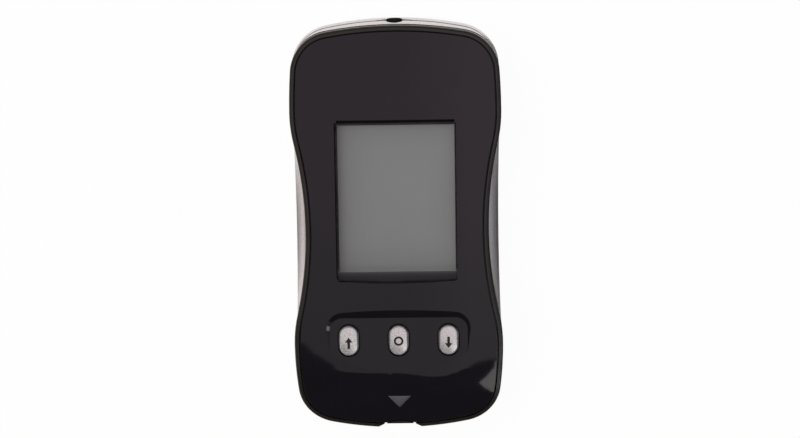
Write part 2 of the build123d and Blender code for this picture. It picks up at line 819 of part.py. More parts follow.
# ------------------------------------------------------------------- push buttons
for name, x in zip(button_names, button_x):
    cap = stadium(0, flange_top_z, thickness, x)
    cap_flange = stadium(flange_margin, flange_z, flange_top_z, x)
    with BuildPart() as button:
        add(cap)
        with Locations((x, button_y, button_top_z - button_dome_r)):
            Sphere(button_dome_r, mode=Mode.INTERSECT)
        fillet(button.faces().sort_by(Axis.Z)[-1].edges(), radius=button_edge_r)
        add(cap_flange)
        with BuildSketch(Plane.XY.offset(stem_bottom_z)):
            with Locations((x, button_y)):
                Circle(stem_r)
        extrude(amount=flange_z - stem_bottom_z)
    save(button.part, f"button_{name}")

    with BuildPart() as switch:
        with BuildSketch(Plane.XY.offset(board_top_z)):
            with Locations((x, button_y)):
                Rectangle(switch_size, switch_size)
        extrude(amount=switch_height)
        with BuildSketch(Plane.XY.offset(switch_top_z)):
            with Locations((x, button_y)):
                Circle(plunger_r + plunger_gap)
        extrude(amount=-switch_well, mode=Mode.SUBTRACT)
    save(switch.part, f"switch_{name}")

    with BuildPart() as plunger:
        with BuildSketch(Plane.XY.offset(stem_bottom_z)):
            with Locations((x, button_y)):
                Circle(plunger_r)
        extrude(amount=-(stem_bottom_z - switch_top_z + plunger_depth))
    save(plunger.part, f"plunger_{name}")

# ---------------------------------------------------------------------- strip port
port_block = slab(
    port_w, port_len, port_h, 0, port_face_y + port_len / 2, slot_z - port_h / 2
)
with BuildPart() as strip_port:
    add(port_block)
    with BuildSketch(Plane.XZ.offset(-port_face_y)):
        with Locations((0, slot_z)):
            Rectangle(slot_w, slot_h)
    extrude(amount=-port_len, mode=Mode.SUBTRACT)
    mouth = strip_port.faces().sort_by(Axis.Y)[0].inner_wires()[0]
    chamfer(mouth.edges(), length=port_flare)
save(strip_port.part, "strip_port")

contact_xs = [(i - (contact_count - 1) / 2) * contact_pitch for i in range(contact_count)]
contact_z = slot_z + slot_h / 2
connector_back_y = connector_y + connector_len / 2


def contact_block(x, gap):
    """Spring contact: a leaf over the slot and a leg down to the board."""
    half = contact_w / 2 + gap
    leaf = slab(
        2 * half,
        slot_len + contact_back,
        contact_t + 2 * gap,
        x,
        connector_back_y + (contact_back - slot_len) / 2,
        contact_z - gap,
    )
    leg = slab(
        2 * half,
        contact_t,
        contact_z + contact_t - board_top_z,
        x,
        connector_back_y + contact_back - contact_t / 2,
        board_top_z,
    )
    return leaf + leg


contact_channels = [contact_block(x, seat_gap) for x in contact_xs]
with BuildPart() as strip_connector:
    with BuildSketch(Plane.XY.offset(board_top_z)):
        with Locations((0, connector_y)):
            Rectangle(connector_w, connector_len)
    extrude(amount=connector_h)
    with BuildSketch(Plane.XZ.offset(connector_len / 2 - connector_y)):
        with Locations((0, slot_z)):
            Rectangle(slot_w, slot_h)
    extrude(amount=-slot_len, mode=Mode.SUBTRACT)
    add(contact_channels, mode=Mode.SUBTRACT)
save(strip_connector.part, "strip_connector")

save(Compound(children=[contact_block(x, 0) for x in contact_xs]), "strip_contacts")

# ----------------------------------------------------------------------- data jack
with BuildPart() as data_jack:
    with BuildSketch(Plane.XZ.offset(-jack_face_y)):
        with Locations((0, jack_z)):
            Rectangle(jack_w, jack_h)
    extrude(amount=jack_len)
    fillet(data_jack.edges().filter_by(Axis.Y), radius=jack_edge_r)
    with BuildSketch(Plane.XZ.offset(-jack_face_y)):
        with Locations((0, jack_z)):
            Circle(jack_nose_r)
    extrude(amount=-jack_nose_len)
    extrude(jack_eye_face, amount=-jack_eye_len)
    with BuildSketch(Plane.XZ.offset(-jack_face_y - jack_nose_len)):
        with Locations((0, jack_z)):
            Circle(jack_bore_r)
    extrude(amount=jack_bore_len, mode=Mode.SUBTRACT)
save(data_jack.part, "data_jack")

with BuildPart() as jack_terminals:
    with BuildSketch(Plane.XY.offset(board_top_z)):
        with Locations((0, jack_face_y - jack_len / 2)):
            with GridLocations(jack_w + terminal_size[0], jack_len / 2, 2, 2):
                Rectangle(terminal_size[0], terminal_size[1])
    extrude(amount=terminal_size[2])
save(jack_terminals.part, "jack_terminals")

# ------------------------------------------------------------------------ batteries
for name, cell_y in zip(("lower", "upper"), cell_ys):
    with BuildPart() as cell:
        with BuildSketch(Plane.XY.offset(cell_z)):
            with Locations((0, cell_y)):
                Circle(cell_d / 2)
        extrude(amount=cell_thick - cell_cap_h)
        fillet(cell.edges().group_by(Axis.Z)[0], radius=cell_edge_r)
        with BuildSketch(Plane.XY.offset(cell_z + cell_thick - cell_cap_h)):
            with Locations((0, cell_y)):
                Circle(cell_cap_d / 2)
        extrude(amount=cell_cap_h)
    save(cell.part, f"coin_cell_{name}")

with BuildPart() as negative_contacts:
    for cell_y in cell_ys:
        with BuildSketch(Plane.XZ.offset(-(cell_y + spring_w / 2))):
            with BuildLine():
                low = ThreePointArc(
                    (-spring_reach, spring_top_z - spring_t),
                    (0, cell_top_z + spring_gap),
                    (spring_reach, spring_top_z - spring_t),
                )
                high = ThreePointArc(
                    (-spring_reach, spring_top_z),
                    (0, cell_top_z + spring_gap + spring_t),
                    (spring_reach, spring_top_z),
                )
                Line(low @ 0, high @ 0)
                Line(low @ 1, high @ 1)
            make_face()
        extrude(amount=spring_w)
        with BuildSketch(Plane.XY.offset(spring_top_z - spring_t)):
            with Locations((-spring_reach, cell_y)):
                Rectangle(2 * spring_t, spring_w)
        extrude(amount=board_z - spring_top_z + spring_t)
save(negative_contacts.part, "negative_contacts")

with BuildPart() as positive_contacts:
    with BuildSketch(Plane.XY.offset(spring_foot_z)):
        with Locations(*[(bay_half - 1.5 * spring_t, y) for y in cell_ys]):
            Rectangle(spring_t, spring_w)
    extrude(amount=board_z - spring_foot_z)
save(positive_contacts.part, "positive_contacts")

# --------------------------------------------------------------------------- screws
with BuildPart() as case_screws:
    with BuildSketch(Plane.XY.offset(screw_head_z)):
        with Locations(*screw_spots):
            Circle(screw_head_r)
    extrude(amount=screw_head_h)
    with BuildSketch(Plane.XY.offset(screw_head_z)):
        with Locations(*screw_spots):
            Circle(screw_r)
    extrude(amount=screw_end_z - screw_head_z)
    with BuildSketch(Plane.XY.offset(screw_head_z)):
        with Locations(*screw_spots):
            Rectangle(screw_cross_w, screw_cross_t)
            Rectangle(screw_cross_t, screw_cross_w)
    extrude(amount=screw_cross_depth, mode=Mode.SUBTRACT)
save(case_screws.part, "case_screws")

# -------------------------------------------------------------- parts on the board
save(slab(*mcu_size, *mcu_at, board_top_z), "microcontroller")
save(slab(*memory_size, *memory_at, board_top_z), "memory_chip")
save(slab(*crystal_size, *crystal_at, board_z - crystal_size[2]), "crystal")
with BuildPart() as buzzer:
    with BuildSketch(Plane.XY.offset(board_z)):
        with Locations(buzzer_at):
            Circle(buzzer_r)
    extrude(amount=-buzzer_h)
    with BuildSketch(Plane.XY.offset(board_z - buzzer_h)):
        with Locations(buzzer_at):
            Circle(buzzer_vent_r)
    extrude(amount=buzzer_vent_r, mode=Mode.SUBTRACT)
save(buzzer.part, "buzzer")
with BuildPart() as passives:
    with BuildSketch(Plane.XY.offset(board_z)):
        with Locations(passives_at):
            with GridLocations(*passive_pitch, *passive_count):
                Rectangle(passive_size[0], passive_size[1])
    extrude(amount=-passive_size[2])
save(passives.part, "passives")
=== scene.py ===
import json
from functools import partial
from math import cos, pi, radians, sin

import bmesh
import bpy
from mathutils import Matrix, Vector
from mathutils.bvhtree import BVHTree


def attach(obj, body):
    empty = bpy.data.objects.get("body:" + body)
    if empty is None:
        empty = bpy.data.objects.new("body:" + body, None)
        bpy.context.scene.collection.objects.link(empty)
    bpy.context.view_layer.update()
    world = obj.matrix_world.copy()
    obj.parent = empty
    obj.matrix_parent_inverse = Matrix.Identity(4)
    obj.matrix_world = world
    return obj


# The looks of a blood glucose meter, its stage and its camera. Lengths are in metres, apart
# from the places and prints on the meter and the grain of its materials, which are in mm.

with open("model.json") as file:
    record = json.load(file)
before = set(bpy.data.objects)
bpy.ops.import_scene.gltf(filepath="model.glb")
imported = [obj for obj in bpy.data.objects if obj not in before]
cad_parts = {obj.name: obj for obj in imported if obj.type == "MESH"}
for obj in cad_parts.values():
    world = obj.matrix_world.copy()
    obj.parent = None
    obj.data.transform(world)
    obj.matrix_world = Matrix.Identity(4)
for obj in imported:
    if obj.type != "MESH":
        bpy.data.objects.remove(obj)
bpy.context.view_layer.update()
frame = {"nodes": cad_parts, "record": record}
nodes = frame["nodes"]
scene = bpy.context.scene
MM = 0.001

# ------------------------------------------------------------------- places, in mm
BUTTON_Y = -25.42
BUTTON_PITCH = 11.27
BUTTON_SIZE = (4.06, 6.7)
BUTTON_RIM = (0.26, 0.5)  # painted shade: a dark rim round a button's hole, out from the button
RIM_POINTS = 10  # along each round end
LEGEND_DROP = -0.4  # the arrows sit this far below the middle of their buttons
ARROW_LONG = 2.6
ARROW_HEAD_W = 1.7
ARROW_HEAD_LONG = 1.1
ARROW_SHAFT_W = 0.6
RING_R = 1.08  # the ring on the middle button
RING_LINE = 0.45
RING_POINTS = 40
MARK_BASE_Y = -38.65  # the arrowhead on the chin
MARK_TIP_Y = -41.47
MARK_W = 5.2
PRINT_LIFT = 0.012  # how high a print's top lies over the surface
PRINT_THICK = 0.03
PRINT_WELD = 0.001  # corners of a print nearer than this are one
GAP_THICK = 0.02
OVER_METER_Z = 100.0  # prints are dropped onto the surface from here

WINDOW_X = 13.45  # the window's opening
WINDOW_TOP_Y = 24.35
WINDOW_LOW_Y = -11.0
GAP_TOP = 0.5  # painted shade: a dark print where the gap along its top and left edges lies in shadow
GAP_TOP_IN = 0.3  # the top gap stops this far inside the opening's corners
GAP_TOP_LIFT = 0.04
GAP_SIDE = 0.24
STRIP_FOOT_Y = -11.7  # the grey band below the display, fading into painted shade towards the window's edge
STRIP_TOP_Y = -9.4
FILM_FOOT_Y = -9.2  # painted shadow darkens the display's film below FILM_EVEN_Y
FILM_EVEN_Y = 6.0

CREST_Y = 5.0  # the panel's arc from end to end is highest here
CROWN_R = 452.337
CROSS_R = 330.0  # its arc from side to side
CHIN_Y = -32.1  # the crown's arc passes into the chin's here
CHIN_AXIS_Y = -28.409
CHIN_R = 44.6
ARC_FROM_X = 12.5  # the panel's material takes the arcs' normal this far from the middle,
ARC_NEAR_Y = 2.6  # this near CHIN_Y,
ARC_MATCH = 0.9993  # and where its cosine with the mesh's own normal is over this

SEAM_Z = 7.2  # painted shade darkens the parting line round the case
SEAM_HALF = 0.36
SLIT_HALF = 0.55  # the line's painted shade opens into an eye-shaped slit round the jack's hole
SLIT_X = 4.6
JACK_Z = 7.6  # the jack's hole, dark inside with painted shade
JACK_HOLE_R = 2.12
JACK_END_Y = 40.0  # the hole and the slit are beyond this

# -------------------------------------------------------------------- node helpers
TEXTURE_LOW, TEXTURE_HIGH = 0.3, 0.7  # most of a noise texture's values lie between these
ROUGH_SPREAD = 0.05  # how far a plastic's roughness varies either way
METAL_ROUGH_LOW, METAL_ROUGH_HIGH = 0.06, 0.08  # how far a metal's varies down and up
SPECULAR = 0.5
MATT_SPECULAR = 0.04
STEEP_Z, LEVEL_Z = 0.4, 0.9  # matt sides go from one to the other by their normal's Z


def shader_tree(name):
    """A new node material: (material, nodes, links, Principled shader)."""
    mat = bpy.data.materials.new(name)
    mat.use_nodes = True
    tree = mat.node_tree
    return mat, tree.nodes, tree.links, tree.nodes["Principled BSDF"]


def bare_tree(name):
    """A new node material without a shader: (material, nodes, links)."""
    mat, tn, links, shader = shader_tree(name)
    tn.remove(shader)
    return mat, tn, links


def feed(links, node, inputs):
    """Fill a node's inputs: numbers and tuples are set, and outputs are linked."""
    for key, value in inputs.items():
        if isinstance(value, (float, tuple)):
            node.inputs[key].default_value = value
        else:
            links.new(value, node.inputs[key])


def surfaced(tn, links, shader):
    """Give the material this shader."""
    links.new(shader, tn["Material Output"].inputs["Surface"])


def axes(tn, links, vector):
    """The X, Y and Z of a vector."""
    split = tn.new("ShaderNodeSeparateXYZ")
    links.new(vector, split.inputs["Vector"])
    return tuple(split.outputs[axis] for axis in "XYZ")


def own_place(tn, links):
    """The X, Y and Z of a point in the object's own metres."""
    return axes(tn, links, tn.new("ShaderNodeTexCoord").outputs["Object"])


def maths(tn, links, operation, *terms):
    """One Math node over numbers and outputs."""
    node = tn.new("ShaderNodeMath")
    node.operation = operation
    feed(links, node, dict(enumerate(terms)))
    return node.outputs["Value"]


def mapped(tn, links, source, low, high, to_low=0.0, to_high=1.0, smooth=False):
    """A value moved from one range to another."""
    node = tn.new("ShaderNodeMapRange")
    node.interpolation_type = "SMOOTHSTEP" if smooth else "LINEAR"
    feed(links, node, {"Value": source, "From Min": low, "From Max": high,
                       "To Min": to_low, "To Max": to_high})
    return node.outputs["Result"]


def spread(tn, links, source, low, high):
    """A texture's values stretched over a range."""
    return mapped(tn, links, source, TEXTURE_LOW, TEXTURE_HIGH, low, high)


def texture(tn, links, kind, size_mm):
    """A 3-D texture in the object's own metres, with features about size_mm wide."""
    place = tn.new("ShaderNodeTexCoord")
    tex = tn.new(kind)
    feed(links, tex, {"Vector": place.outputs["Object"], "Scale": 1 / (size_mm * MM)})
    return tex


def noise(tn, links, size_mm, detail=2.0):
    """A noise texture's value."""
    tex = texture(tn, links, "ShaderNodeTexNoise", size_mm)
    tex.inputs["Detail"].default_value = detail
    return tex.outputs["Fac"]


def grey(value):
    """A neutral colour."""
    return (value,) * 3


def shade(colour, factor):
    """A colour made darker or lighter."""
    return tuple(min(1.0, c * factor) for c in colour)


def ramp(tn, links, source, stops):
    """A colour ramp over a value; stops are (position, colour)."""
    node = tn.new("ShaderNodeValToRGB")
    links.new(source, node.inputs["Fac"])
    band = node.color_ramp
    while len(band.elements) < len(stops):
        band.elements.new(0.5)
    for element, (at, colour) in zip(band.elements, stops):
        element.position = at
        element.color = (*colour, 1.0)
    return node.outputs["Color"]


def mottled(tn, links, source, colour, low, high):
    """A colour that a texture varies between two shades of it."""
    return ramp(tn, links, source,
                [(TEXTURE_LOW, shade(colour, low)), (TEXTURE_HIGH, shade(colour, high))])


def multiplied(tn, links, first, second):
    """Two colours multiplied."""
    node = tn.new("ShaderNodeMix")
    node.data_type = "RGBA"
    node.blend_type = "MULTIPLY"
    feed(links, node, {"Factor": 1.0, "A": first, "B": second})
    return node.outputs["Result"]


def bumped(tn, links, shader, source, depth_mm, strength=1.0, below=None):
    """Bump from a texture, depth_mm high, over the normal below it."""
    node = tn.new("ShaderNodeBump")
    feed(links, node, {"Strength": strength, "Distance": depth_mm * MM, "Height": source})
    if below is not None:
        links.new(below, node.inputs["Normal"])
    links.new(node.outputs["Normal"], shader.inputs["Normal"])


def mixed(tn, links, factor, first, second):
    """Two shaders mixed."""
    node = tn.new("ShaderNodeMixShader")
    feed(links, node, {"Fac": factor, 1: first, 2: second})
    return node.outputs["Shader"]


def emitted(tn, links, colour, strength=1.0):
    """An emission shader."""
    node = tn.new("ShaderNodeEmission")
    feed(links, node, {"Color": colour, "Strength": strength})
    return node.outputs["Emission"]


# ----------------------------------------------------------------------- materials
def plain(name, colour, rough, grain_mm, grain_depth, variation=0.08, specular=SPECULAR):
    """Moulded or finished surface: mottled colour, uneven gloss and a fine grain."""
    mat, tn, links, shader = shader_tree(name)
    cloud = noise(tn, links, size_mm=12 * grain_mm, detail=3.0)
    feed(links, shader, {
        "Base Color": mottled(tn, links, cloud, colour, 1 - variation, 1 + variation),
        "Roughness": spread(tn, links, cloud, rough - ROUGH_SPREAD, rough + ROUGH_SPREAD),
        "Specular IOR Level": specular,
    })
    bumped(tn, links, shader, noise(tn, links, grain_mm), grain_depth)
    return mat


def seam_shade(tn, links):
    """Grey factor, dark with painted shade in the parting line's groove and inside the jack's
    hole.
    """
    math = partial(maths, tn, links)
    x, y, z = own_place(tn, links)
    off_seam = math("ABSOLUTE", math("SUBTRACT", z, SEAM_Z * MM))
    from_jack = math("MINIMUM", math("DIVIDE", math("ABSOLUTE", x), SLIT_X * MM), 1.0)
    slit = math("MULTIPLY", math("SUBTRACT", 1.0, from_jack), SLIT_HALF * MM)
    at_end = math("GREATER_THAN", y, JACK_END_Y * MM)
    seam = math("DIVIDE", off_seam, math("ADD", math("MULTIPLY", slit, at_end), SEAM_HALF * MM))
    up = math("SUBTRACT", z, JACK_Z * MM)
    out = math("SQRT", math("ADD", math("MULTIPLY", up, up), math("MULTIPLY", x, x)))
    off_hole = math("GREATER_THAN", out, JACK_HOLE_R * MM)
    off_end = math("LESS_THAN", y, JACK_END_Y * MM)
    clear_of_hole = math("MAXIMUM", off_hole, off_end)
    return ramp(tn, links, math("MULTIPLY", math("MINIMUM", seam, 1.0), clear_of_hole),
                [(0.0, grey(0.05)), (0.45, grey(0.12)), (1.0, grey(1.0))])


def metallic_paint(name, colour, rough=0.36, flake_mm=0.16, flake_depth=0.012, metallic=0.8,
                   shaded_seam=False):
    """Silver paint: bright and dark flakes under a thin clear coat."""
    mat, tn, links, shader = shader_tree(name)
    flake = texture(tn, links, "ShaderNodeTexVoronoi", flake_mm)
    flake.inputs["Randomness"].default_value = 1.0
    lightness = tn.new("ShaderNodeRGBToBW")
    links.new(flake.outputs["Color"], lightness.inputs["Color"])
    flakes = lightness.outputs["Val"]
    sparkle = ramp(tn, links, flakes,
                   [(0.1, shade(colour, 0.80)), (0.5, colour), (0.9, shade(colour, 1.16))])
    cloud = noise(tn, links, size_mm=6, detail=3.0)
    drift = mottled(tn, links, cloud, grey(1.0), 0.95, 1.0)
    paint = multiplied(tn, links, sparkle, drift)
    # painted shade in the parting line, its slit and the jack's hole
    if shaded_seam:
        paint = multiplied(tn, links, paint, seam_shade(tn, links))
    feed(links, shader, {
        "Base Color": paint,
        "Roughness": spread(tn, links, flakes, rough - METAL_ROUGH_LOW, rough + METAL_ROUGH_HIGH),
        "Metallic": metallic,
        "Coat Weight": 0.25,
        "Coat Roughness": 0.15,
    })
    bumped(tn, links, shader, flakes, flake_depth, strength=0.5)
    return mat


def crown_normal(tn, links):
    """The panel's own normal, or that of its crown and chin arcs near the line where they meet."""
    math = partial(maths, tn, links)
    x, y, _ = own_place(tn, links)
    normal = tn.new("ShaderNodeNewGeometry").outputs["Normal"]
    across = math("DIVIDE", x, CROSS_R * MM)
    crown = math("DIVIDE", math("SUBTRACT", y, CREST_Y * MM), CROWN_R * MM)
    chin = math("DIVIDE", math("SUBTRACT", y, CHIN_AXIS_Y * MM), CHIN_R * MM)
    along = math("MINIMUM", crown, chin)
    flat = math("ADD", math("MULTIPLY", across, across), math("MULTIPLY", along, along))
    arc = tn.new("ShaderNodeCombineXYZ")
    feed(links, arc, {"X": across, "Y": along, "Z": math("SQRT", math("SUBTRACT", 1.0, flat))})
    match = tn.new("ShaderNodeVectorMath")
    match.operation = "DOT_PRODUCT"
    feed(links, match, {0: arc.outputs["Vector"], 1: normal})
    beside = math("GREATER_THAN", math("ABSOLUTE", x), ARC_FROM_X * MM)
    near = math("LESS_THAN", math("ABSOLUTE", math("SUBTRACT", y, CHIN_Y * MM)), ARC_NEAR_Y * MM)
    on_arc = math("GREATER_THAN", match.outputs["Value"], ARC_MATCH)
    pick = tn.new("ShaderNodeMix")
    pick.data_type = "VECTOR"
    feed(links, pick, {"Factor": math("MULTIPLY", math("MULTIPLY", beside, near), on_arc),
                       "A": normal, "B": arc.outputs["Vector"]})
    return pick.outputs["Result"]


def polished(name, colour, rough, wave_mm, wave_depth, matt_sides=False, crowned=False):
    """High-gloss moulding: the faint long waves of a moulded face and a hair of haze."""
    mat, tn, links, shader = shader_tree(name)
    cloud = noise(tn, links, size_mm=9)
    haze = noise(tn, links, size_mm=3, detail=4.0)
    feed(links, shader, {
        "Base Color": mottled(tn, links, cloud, colour, 0.92, 1.08),
        "Roughness": spread(tn, links, haze, rough * 0.8, rough * 1.25),
        "Specular IOR Level": SPECULAR,
    })
    if matt_sides:
        up = axes(tn, links, tn.new("ShaderNodeNewGeometry").outputs["Normal"])[2]
        gloss = mapped(tn, links, up, STEEP_Z, LEVEL_Z, MATT_SPECULAR, SPECULAR)
        links.new(gloss, shader.inputs["Specular IOR Level"])
    bumped(tn, links, shader, noise(tn, links, size_mm=wave_mm, detail=0.0), wave_depth,
           below=crown_normal(tn, links) if crowned else None)
    return mat


def clear_plastic(name, tint, ior, rough):
    """Thin clear window: sees straight through, with a fresnel reflection on its outer faces."""
    mat, tn, links = bare_tree(name)
    through = tn.new("ShaderNodeBsdfTransparent")
    through.inputs["Color"].default_value = (*tint, 1.0)
    mirror = tn.new("ShaderNodeBsdfGlossy")
    mirror.inputs["Roughness"].default_value = rough
    bumped(tn, links, mirror, noise(tn, links, size_mm=14), depth_mm=0.004, strength=0.3)
    fresnel = tn.new("ShaderNodeFresnel")
    fresnel.inputs["IOR"].default_value = ior
    face = tn.new("ShaderNodeNewGeometry")
    front = maths(tn, links, "SUBTRACT", 1.0, face.outputs["Backfacing"])
    outside = maths(tn, links, "MULTIPLY", fresnel.outputs["Fac"], front)
    surfaced(tn, links, mixed(tn, links, outside, through.outputs["BSDF"], mirror.outputs["BSDF"]))
    return mat


def display_film(name, colour):
    """The grey front film of a display that is off: even, with painted shadow darkening it towards
    its lower edge.
    """
    mat, tn, links, shader = shader_tree(name)
    tint = mottled(tn, links, noise(tn, links, size_mm=16, detail=1.0), colour, 0.975, 1.02)
    low = mapped(tn, links, own_place(tn, links)[1], FILM_FOOT_Y * MM, FILM_EVEN_Y * MM)
    painted_shadow = ramp(tn, links, low, [(0.0, grey(0.72)), (0.06, grey(0.83)), (0.13, grey(0.88)),
                                 (0.38, grey(0.96)), (1.0, grey(1.0))])
    feed(links, shader, {"Base Color": multiplied(tn, links, tint, painted_shadow),
                         "Roughness": 0.55, "Specular IOR Level": 0.3})
    bumped(tn, links, shader, noise(tn, links, size_mm=0.12, detail=1.0), depth_mm=0.004)
    return mat


def gasket(name):
    """Black foam round the display, with a grey band along the display's lower edge that fades
    into painted shade towards the window's edge.
    """
    mat, tn, links, shader = shader_tree(name)
    along = mapped(tn, links, own_place(tn, links)[1], STRIP_FOOT_Y * MM, STRIP_TOP_Y * MM)
    # painted shade: the band darkens towards the window's lower edge
    tint = ramp(tn, links, along,
                [(0.0, (0.005, 0.0045, 0.005)), (0.4, (0.014, 0.012, 0.015)),
                 (0.9, (0.078, 0.074, 0.084)), (1.0, (0.008, 0.0075, 0.008))])
    feed(links, shader, {"Base Color": tint, "Roughness": 0.7})
    bumped(tn, links, shader, noise(tn, links, size_mm=0.35), depth_mm=0.01)
    return mat


def circuit_board(name, colour):
    """Green solder resist with tracks showing faintly through it."""
    mat, tn, links, shader = shader_tree(name)
    tracks = texture(tn, links, "ShaderNodeTexBrick", size_mm=2.2)
    feed(links, tracks, {"Mortar Size": 0.06, "Color1": (*colour, 1.0),
                         "Color2": (*shade(colour, 0.8), 1.0),
                         "Mortar": (*shade(colour, 1.9), 1.0)})
    feed(links, shader, {"Base Color": tracks.outputs["Color"], "Roughness": 0.35})
    bumped(tn, links, shader, noise(tn, links, size_mm=0.5), depth_mm=0.004)
    return mat


def brushed(name, colour, rough=0.3):
    """Sheet or turned metal with a fine directional brushing."""
    mat, tn, links, shader = shader_tree(name)
    place = tn.new("ShaderNodeTexCoord")
    stretch = tn.new("ShaderNodeMapping")
    feed(links, stretch, {"Vector": place.outputs["Object"],
                          "Scale": (1 / (0.08 * MM), 1 / (2.5 * MM), 1 / (0.4 * MM))})
    brushing = tn.new("ShaderNodeTexNoise")
    feed(links, brushing, {"Vector": stretch.outputs["Vector"], "Scale": 1.0, "Detail": 3.0})
    lines = brushing.outputs["Fac"]
    feed(links, shader, {
        "Base Color": mottled(tn, links, lines, colour, 0.88, 1.08),
        "Roughness": spread(tn, links, lines, rough - METAL_ROUGH_LOW, rough + METAL_ROUGH_HIGH),
        "Metallic": 1.0,
    })
    bumped(tn, links, shader, lines, depth_mm=0.004)
    return mat


MATERIALS = {
    "silver_case": metallic_paint("silver_case", (0.72, 0.668, 0.65), shaded_seam=True),
    "cover_silver": metallic_paint("cover_silver", (0.66, 0.63, 0.635), rough=0.4),
    "black_bezel": polished("black_bezel", (0.016, 0.0135, 0.011), rough=0.2, wave_mm=1.2,
                            wave_depth=0.002, matt_sides=True),
    "black_panel": polished("black_panel", (0.0062, 0.0052, 0.0074), rough=0.035, wave_mm=5.0,
                            wave_depth=0.0012, crowned=True),
    "clear_window": clear_plastic("clear_window", (0.97, 0.975, 0.97), ior=1.49, rough=0.02),
    "display_glass": clear_plastic("display_glass", (0.86, 0.9, 0.88), ior=1.52, rough=0.05),
    "display_grey": display_film("display_grey", (0.252, 0.256, 0.254)),
    "reflector_film": plain("reflector_film", (0.55, 0.57, 0.55), rough=0.4, grain_mm=0.2,
                            grain_depth=0.003),
    "gasket_foam": gasket("gasket_foam"),
    "holder_plastic": plain("holder_plastic", (0.72, 0.72, 0.7), rough=0.5, grain_mm=0.3,
                            grain_depth=0.006, variation=0.03),
    "zebra_rubber": plain("zebra_rubber", (0.2, 0.2, 0.21), rough=0.7, grain_mm=0.15,
                          grain_depth=0.01),
    "board_green": circuit_board("board_green", (0.012, 0.11, 0.035)),
    "chip_black": plain("chip_black", (0.018, 0.018, 0.019), rough=0.55, grain_mm=0.12,
                        grain_depth=0.006),
    "ceramic_parts": plain("ceramic_parts", (0.40, 0.31, 0.22), rough=0.5, grain_mm=0.2,
                           grain_depth=0.004, variation=0.15),
    "steel": brushed("steel", (0.62, 0.61, 0.60)),
    "gold_contacts": brushed("gold_contacts", (0.83, 0.61, 0.27), rough=0.24),
    "button_silver": metallic_paint("button_silver", (0.79, 0.787, 0.765), rough=0.3,
                                    flake_mm=0.09, flake_depth=0.003, metallic=0.7),
    "port_black": plain("port_black", (0.006, 0.005, 0.005), rough=0.6, grain_mm=0.2,
                        grain_depth=0.008, variation=0.15, specular=0.2),
}
for piece in frame["record"]["subparts"]:
    mesh = nodes[piece["node"]].data
    mesh.materials.clear()
    mesh.materials.append(MATERIALS[piece["material_slot"]])

ink = dict(grain_mm=0.1, grain_depth=0.001)
PRINT_BLACK = plain("print_black", (0.012, 0.011, 0.012), rough=0.45, variation=0.1, **ink)
# painted shade: a dark matt print laid where the gaps round the window and the buttons fall into
# shadow
GAP_SHADE = plain("gap_shade_print", (0.004, 0.0035, 0.004), rough=0.8, variation=0.1, specular=0.05,
                  **ink)
PRINT_GREY = plain("print_grey", (0.083, 0.078, 0.088), rough=0.4, variation=0.06, **ink)


# ------------------------------------------------------------------ printed marks
def surface(node):
    """The CAD node's faces, ready to be hit from above."""
    mesh = nodes[node].data
    mesh.calc_loop_triangles()
    return BVHTree.FromPolygons(
        [v.co[:] for v in mesh.vertices], [t.vertices[:] for t in mesh.loop_triangles]
    )


def printed(name, outlines, node, body, mat, slot, lift_mm=PRINT_LIFT, thick_mm=PRINT_THICK,
            cuts=3):
    """A thin print laid on a CAD surface: flat outlines in mm, dropped onto it from above."""
    skin = surface(node)
    bm = bmesh.new()
    for outline in outlines:
        bm.faces.new([bm.verts.new((x * MM, y * MM, 0.0)) for x, y in outline])
    bmesh.ops.remove_doubles(bm, verts=bm.verts, dist=PRINT_WELD * MM)
    bmesh.ops.triangulate(bm, faces=bm.faces)
    bmesh.ops.subdivide_edges(bm, edges=bm.edges, cuts=cuts, use_grid_fill=True)
    for v in bm.verts:
        above = Vector((v.co.x, v.co.y, OVER_METER_Z * MM))
        hit = skin.ray_cast(above, Vector((0, 0, -1)))[0]
        v.co.z = hit.z + lift_mm * MM
    bmesh.ops.recalc_face_normals(bm, faces=bm.faces)
    if sum(f.normal.z for f in bm.faces) < 0:
        bmesh.ops.reverse_faces(bm, faces=bm.faces)
    mesh = bpy.data.meshes.new(name)
    bm.to_mesh(mesh)
    bm.free()
    mesh.materials.append(mat)
    mesh.polygons.foreach_set("use_smooth", [True] * len(mesh.polygons))
    obj = bpy.data.objects.new(name, mesh)
    scene.collection.objects.link(obj)
    solid = obj.modifiers.new("thickness", "SOLIDIFY")
    solid.thickness = thick_mm * MM
    solid.offset = -1.0
    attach(obj, body)


def box_outline(x, y):
    """Outline of an upright box between two x and two y."""
    return [(x[0], y[0]), (x[1], y[0]), (x[1], y[1]), (x[0], y[1])]


def arrow(x, up):
    """Outline pieces of an arrow on a button: a head and a shaft."""
    middle = BUTTON_Y + LEGEND_DROP
    tip = middle + up * ARROW_LONG / 2
    neck = tip - up * ARROW_HEAD_LONG
    tail = middle - up * ARROW_LONG / 2
    half = ARROW_SHAFT_W / 2
    head = [(x - ARROW_HEAD_W / 2, neck), (x + ARROW_HEAD_W / 2, neck), (x, tip)]
    return [head, box_outline((x - half, x + half), (tail, neck))]


def band(inner, outer):
    """Outline pieces between two lines of points."""
    return [list(quad) for quad in zip(inner, outer, outer[1:], inner[1:])]


def ring_line(radius):
    """Points of a circle round the middle of the middle button."""
    turns = [2 * pi * i / RING_POINTS for i in range(RING_POINTS + 1)]
    return [(radius * cos(a), BUTTON_Y + radius * sin(a)) for a in turns]


def rim_line(x, grow):
    """Points round a button's outline, grown by this much."""
    half, straight = BUTTON_SIZE[0] / 2, (BUTTON_SIZE[1] - BUTTON_SIZE[0]) / 2
    turns = [pi * i / RIM_POINTS for i in range(RIM_POINTS + 1)]
    turns = [(a, straight) for a in turns] + [(a + pi, -straight) for a in turns]
    turns.append(turns[0])
    return [(x + (half + grow) * cos(a), BUTTON_Y + rise + (half + grow) * sin(a))
            for a, rise in turns]


